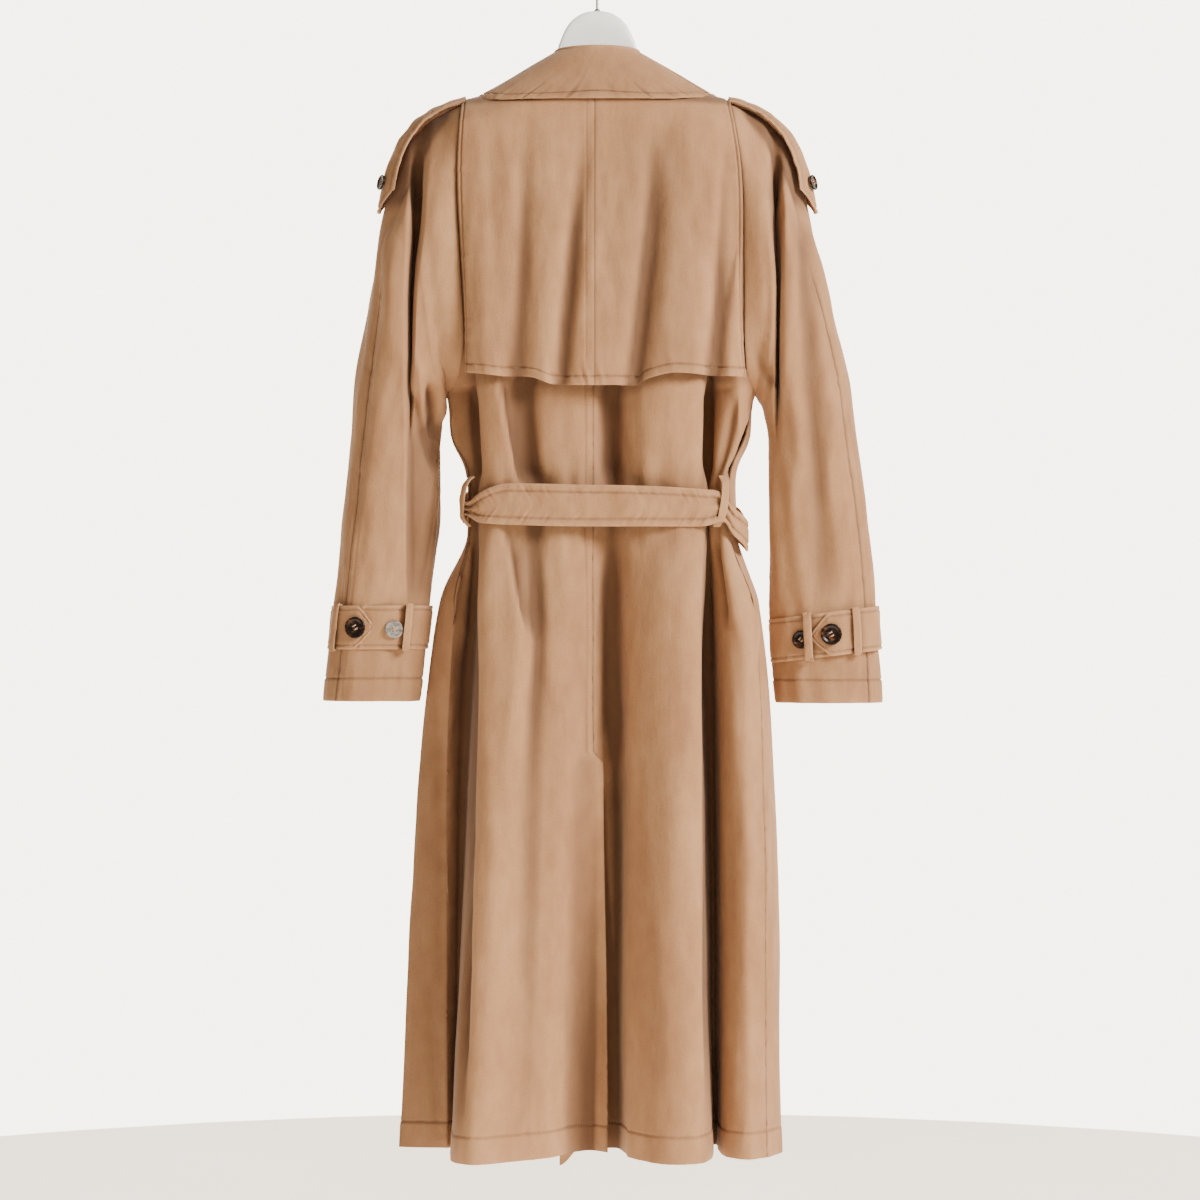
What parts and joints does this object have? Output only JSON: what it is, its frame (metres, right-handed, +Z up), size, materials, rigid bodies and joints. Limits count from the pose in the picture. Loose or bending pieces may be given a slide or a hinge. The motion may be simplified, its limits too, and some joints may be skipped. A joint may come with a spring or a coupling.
{
  "type": "trench coat on hanger",
  "caption": "Long belted trench coat with storm flap, epaulettes and strapped cuffs, hanging empty on a white hanger by its wire hook.",
  "frame": {"origin": "the highest point of the hook's inside, where it rests on a rail", "axes": "+Z up, -Y towards the back of the coat (the side the picture shows), -X towards the wearer's left"},
  "size_m": [0.606, 0.1813, 1.3165],
  "materials": {
    "coat_cloth": "washed cotton twill, matt",
    "dark_horn": "polished tortoiseshell horn",
    "pale_shell": "polished pale shell",
    "white_lacquer": "satin white",
    "hook_wire": "dull steel wire"
  },
  "bodies": {
    "root": {"back_left": "coat_cloth", "back_right": "coat_cloth", "front_left": "coat_cloth", "front_right": "coat_cloth", "storm_flap_left": "coat_cloth", "storm_flap_right": "coat_cloth", "lapel_left": "coat_cloth", "lapel_right": "coat_cloth", "collar_fall": "coat_cloth", "collar_stand": "coat_cloth", "sleeve_back_left": "coat_cloth", "sleeve_front_left": "coat_cloth", "sleeve_back_right": "coat_cloth", "sleeve_front_right": "coat_cloth", "epaulette_left": "coat_cloth", "epaulette_right": "coat_cloth", "cuff_strap_left": "coat_cloth", "cuff_strap_right": "coat_cloth", "strap_loop_left_a": "coat_cloth", "strap_loop_left_b": "coat_cloth", "strap_loop_right_a": "coat_cloth", "strap_loop_right_b": "coat_cloth", "belt": "coat_cloth", "belt_loop_left": "coat_cloth", "belt_loop_right": "coat_cloth", "epaulette_button_left": "dark_horn", "epaulette_button_right": "dark_horn", "cuff_button_left_a": "dark_horn", "cuff_button_right_a": "dark_horn", "cuff_button_right_b": "dark_horn", "belt_buckle": "dark_horn", "cuff_button_left_b": "pale_shell", "hanger": "white_lacquer", "hook": "hook_wire"}
  },
  "joints": []
}
